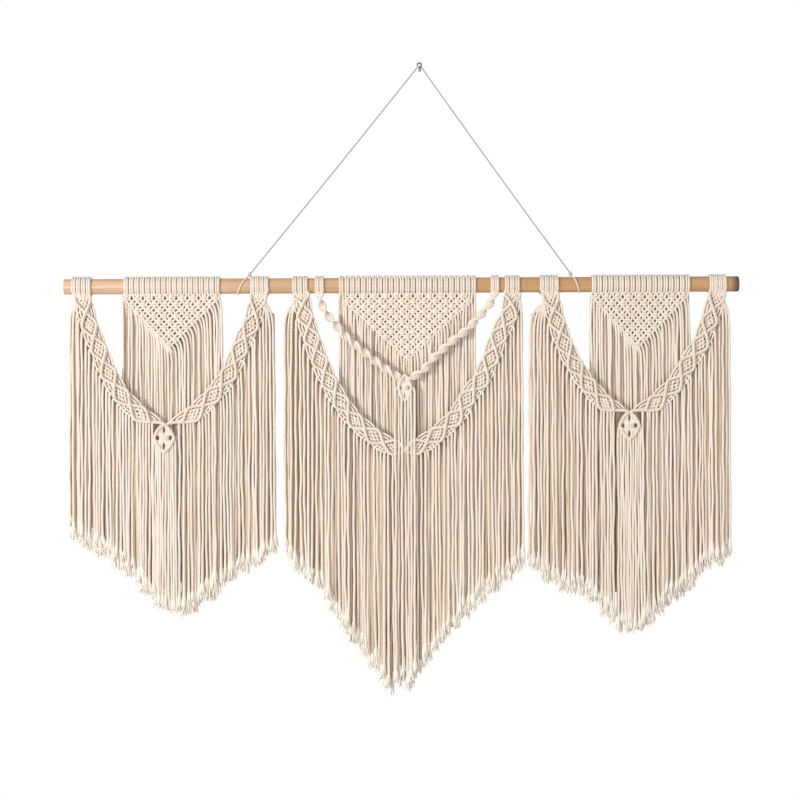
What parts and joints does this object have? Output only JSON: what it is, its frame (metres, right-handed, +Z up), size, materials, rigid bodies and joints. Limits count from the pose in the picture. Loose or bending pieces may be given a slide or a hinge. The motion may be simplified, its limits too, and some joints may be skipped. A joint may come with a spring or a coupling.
{
  "type": "macrame wall hanging on a wooden rod with hanging cord and wall hook",
  "caption": "Wide knotted cotton wall hanging: nets, bands of diamonds and stepped fringe on a wooden rod, hung by a cord from a small wall hook.",
  "frame": {"origin": "centre of the hook plate's back face, which lies on the wall", "axes": "+X along the rod to the viewer's right, +Y into the wall, +Z up; the front faces -Y"},
  "size_m": [1.1, 0.036, 1.0169],
  "materials": {
    "cotton": "natural undyed cotton cord, soft twisted strand, matte, with brushed-out ends",
    "pine": "round pine dowel, smooth, unvarnished, lengthwise grain in warm beige and orange brown",
    "steel": "dark grey wire hook, satin",
    "string": "thin light grey twisted cotton string, matte"
  },
  "bodies": {
    "root": {"rod": "pine", "wall_hook": "steel", "hanging_cord": "string", "tie_left": "string", "tie_right": "string", "left_net": "cotton", "left_band_outer": "cotton", "left_band_inner": "cotton", "left_tip": "cotton", "centre_net": "cotton", "centre_band_left": "cotton", "centre_band_right": "cotton", "centre_twist_left": "cotton", "centre_twist_right": "cotton", "centre_pendant": "cotton", "right_net": "cotton", "right_band_inner": "cotton", "right_band_outer": "cotton", "right_tip": "cotton"}
  },
  "joints": []
}
